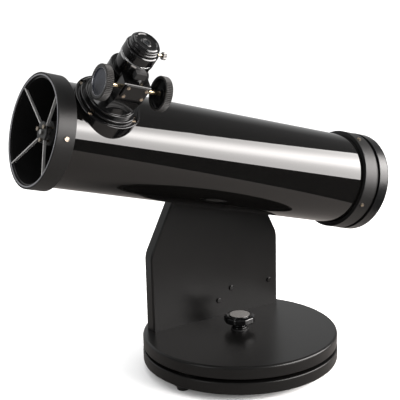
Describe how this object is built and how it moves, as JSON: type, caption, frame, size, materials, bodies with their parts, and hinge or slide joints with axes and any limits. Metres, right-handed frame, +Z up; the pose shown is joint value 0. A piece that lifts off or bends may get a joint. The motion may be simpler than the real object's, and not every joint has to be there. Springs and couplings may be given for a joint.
{
  "type": "telescope",
  "caption": "Small table-top Newtonian reflector on a one-armed alt-azimuth turntable stand, with rack-and-pinion focuser and eyepiece.",
  "frame": {"origin": "centre of the footprint of the whole object's bounding box, on the floor under the feet", "axes": "+Z up; the tube lies in the XZ plane with its front end towards -X and raised; the side panel stands on the +Y side"},
  "size_m": [0.5977, 0.3098, 0.5409],
  "materials": {
    "black_laminate": "satin black melamine laminate",
    "black_rubber": "matt black rubber",
    "zinc_steel": "zinc-plated steel",
    "brass": "turned brass",
    "white_nylon": "slippery white nylon",
    "black_nylon": "dark moulded nylon",
    "gloss_black_plastic": "glossy black moulded plastic",
    "black_steel": "black oxide steel",
    "black_lacquer": "mirror-gloss black lacquer",
    "satin_black_plastic": "satin charcoal plastic",
    "matt_black_plastic": "matt black plastic",
    "spring_steel": "spring steel",
    "aluminium": "cast aluminium",
    "grey_vane": "bright grey pressed metal",
    "mirror_glass": "aluminised glass",
    "optic_glass": "coated optical glass",
    "knob_rubber": "grey-black ribbed rubber",
    "knob_cap": "bluish-grey anodised disc",
    "cork": "cork"
  },
  "bodies": {
    "ground": {"ground_board": "black_laminate", "feet": "black_rubber", "foot_screws": "zinc_steel", "azimuth_pads": "white_nylon", "azimuth_bolt": "zinc_steel"},
    "azimuth_knob": {"azimuth_knob": "gloss_black_plastic"},
    "turntable": {"turntable_board": "black_laminate", "azimuth_bush": "black_nylon", "knob_washers": "black_nylon", "side_panel": "black_laminate", "panel_screws": "zinc_steel", "panel_bolts": "black_steel", "panel_bracket": "black_steel", "panel_nuts": "zinc_steel", "bracket_screws": "black_steel", "altitude_friction_disc": "white_nylon", "altitude_bush": "black_nylon"},
    "altitude_knob": {"altitude_knob": "gloss_black_plastic"},
    "optical_tube": {"altitude_saddle": "satin_black_plastic", "saddle_screws": "zinc_steel", "altitude_shaft": "zinc_steel", "tube": "black_lacquer", "front_ring": "satin_black_plastic", "front_ring_screws": "brass", "rear_ring": "satin_black_plastic", "rear_ring_screws": "brass", "rear_cap": "gloss_black_plastic", "mirror_cell": "aluminium", "mirror_pads": "cork", "primary_mirror": "mirror_glass", "mirror_clips": "black_nylon", "collimation_springs": "spring_steel", "mirror_lock_screws": "zinc_steel", "cap_screws": "brass", "spider_hub": "matt_black_plastic", "spider_vanes": "grey_vane", "secondary_screws": "brass", "secondary_centre_bolt": "zinc_steel", "secondary_mirror": "mirror_glass", "secondary_holder": "matt_black_plastic", "focuser_base": "gloss_black_plastic", "focuser_base_screws": "brass", "focuser_body": "gloss_black_plastic", "pinion_plate": "satin_black_plastic", "pinion_plate_screws": "brass"},
    "collimation_knob_a": {"collimation_knob_a": "matt_black_plastic"},
    "collimation_knob_b": {"collimation_knob_b": "matt_black_plastic"},
    "collimation_knob_c": {"collimation_knob_c": "matt_black_plastic"},
    "focus_shaft": {"pinion_shaft": "brass", "front_focus_knob": "knob_rubber", "rear_focus_knob": "knob_rubber", "focus_knob_caps": "knob_cap"},
    "drawtube": {"drawtube": "gloss_black_plastic", "rack": "matt_black_plastic", "eyepiece_holder": "gloss_black_plastic"},
    "eyepiece_thumbscrew": {"eyepiece_thumbscrew": "zinc_steel"},
    "eyepiece": {"eyepiece_barrel": "zinc_steel", "eyepiece_body": "gloss_black_plastic", "eye_lens": "optic_glass", "field_lens": "optic_glass"}
  },
  "joints": [
    {"name": "azimuth_turn", "type": "hinge", "parent": "ground", "child": "turntable", "pos_m": [0.057, 0, 0.0336], "axis": [0, 0, 1], "continuous": true},
    {"name": "azimuth_knob_turn", "type": "hinge", "parent": "ground", "child": "azimuth_knob", "pos_m": [0.057, 0, 0.07], "axis": [0, 0, 1], "range_deg": [-90, 180]},
    {"name": "altitude_tilt", "type": "hinge", "parent": "turntable", "child": "optical_tube", "pos_m": [0.057, 0, 0.3256], "axis": [0, 1, 0], "range_deg": [-24.7, 75.3]},
    {"name": "altitude_knob_turn", "type": "hinge", "parent": "optical_tube", "child": "altitude_knob", "pos_m": [0.057, 0.1, 0.3256], "axis": [0, 1, 0], "range_deg": [-90, 180]},
    {"name": "focus_slide", "type": "slide", "parent": "optical_tube", "child": "drawtube", "axis": [0.1915, -0.6561, 0.73], "range_m": [-0.004, 0.03]},
    {"name": "focus_shaft_turn", "type": "hinge", "parent": "optical_tube", "child": "focus_shaft", "pos_m": [-0.18452, -0.12179, 0.47096], "axis": [-0.9673, 0, 0.2538], "range_deg": [-450, 75]},
    {"name": "thumbscrew_turn", "type": "hinge", "parent": "drawtube", "child": "eyepiece_thumbscrew", "pos_m": [-0.14829, -0.12662, 0.51054], "axis": [0.9673, 0, -0.2538], "range_deg": [-180, 90]},
    {"name": "eyepiece_lift", "type": "slide", "parent": "drawtube", "child": "eyepiece", "axis": [0.1915, -0.6561, 0.73], "range_m": [0, 0.04]},
    {"name": "collimation_a_turn", "type": "hinge", "parent": "optical_tube", "child": "collimation_knob_a", "pos_m": [0.28073, 0.0256, 0.26691], "axis": [0.9673, 0, -0.2538], "range_deg": [-360, 360]},
    {"name": "collimation_b_turn", "type": "hinge", "parent": "optical_tube", "child": "collimation_knob_b", "pos_m": [0.2715, -0.0374, 0.23172], "axis": [0.9673, 0, -0.2538], "range_deg": [-360, 360]},
    {"name": "collimation_c_turn", "type": "hinge", "parent": "optical_tube", "child": "collimation_knob_c", "pos_m": [0.28996, -0.0374, 0.30209], "axis": [0.9673, 0, -0.2538], "range_deg": [-360, 360]}
  ],
  "couplings": [
    {"joint": "focus_shaft_turn", "follows": "focus_slide", "rad_per_m": -250}
  ]
}
